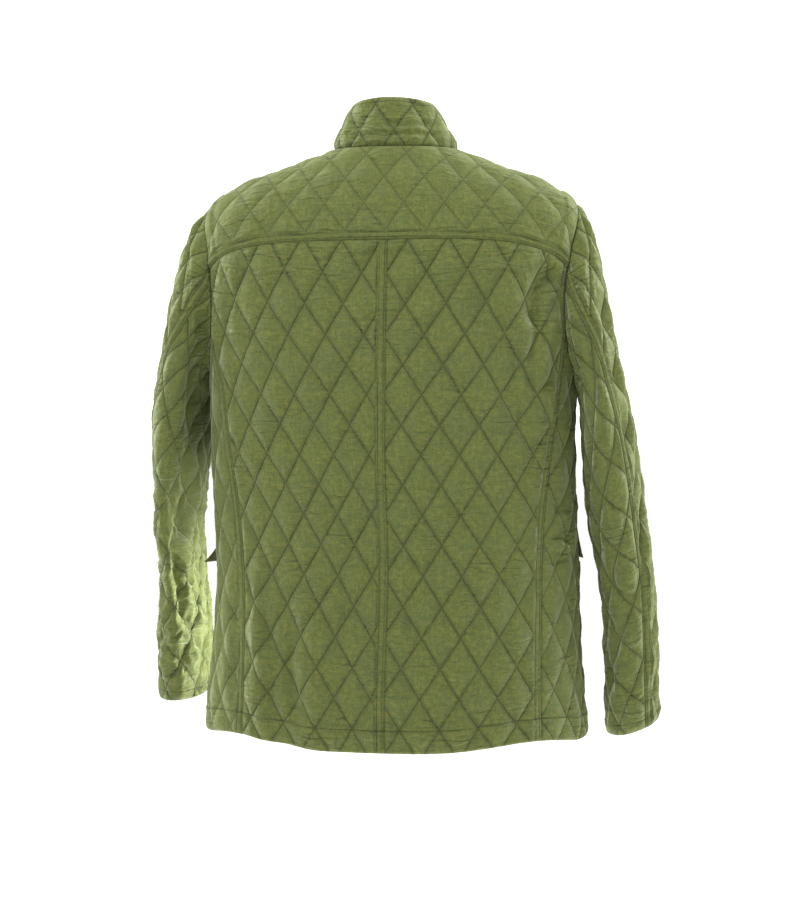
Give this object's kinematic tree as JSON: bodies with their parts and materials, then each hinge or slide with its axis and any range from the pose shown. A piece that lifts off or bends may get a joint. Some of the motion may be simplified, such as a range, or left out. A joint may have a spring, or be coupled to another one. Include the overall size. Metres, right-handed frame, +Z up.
{
  "type": "quilted jacket",
  "caption": "Hollow worn quilted jacket with a stand collar, back yoke, two-piece sleeves, buttoned front and hip pocket flaps.",
  "frame": {"origin": "midway between the two high shoulder points, where the neck seam crosses the shoulders", "axes": "+Z up along the body, +Y out of the wearer's back, +X to the wearer's left"},
  "size_m": [0.6404, 0.3091, 0.792],
  "materials": {
    "quilted_wool": "heathered moss-green wool flannel, matt with a short nap, stitched in diamonds over thin wadding",
    "plain_wool": "the same heathered moss-green wool, not quilted, faced with dark brown cloth",
    "button": "dark brown four-hole button, softly polished"
  },
  "bodies": {
    "root": {"back_yoke": "quilted_wool", "collar": "quilted_wool", "back_left": "quilted_wool", "back_right": "quilted_wool", "side_left": "quilted_wool", "side_right": "quilted_wool", "front_left": "quilted_wool", "front_right": "quilted_wool", "sleeve_upper_left": "quilted_wool", "sleeve_upper_right": "quilted_wool", "sleeve_under_left": "quilted_wool", "sleeve_under_right": "quilted_wool", "flap_left": "plain_wool", "flap_right": "plain_wool", "button_1": "button", "button_2": "button", "button_3": "button", "button_4": "button", "button_5": "button", "button_collar": "button"}
  },
  "joints": []
}
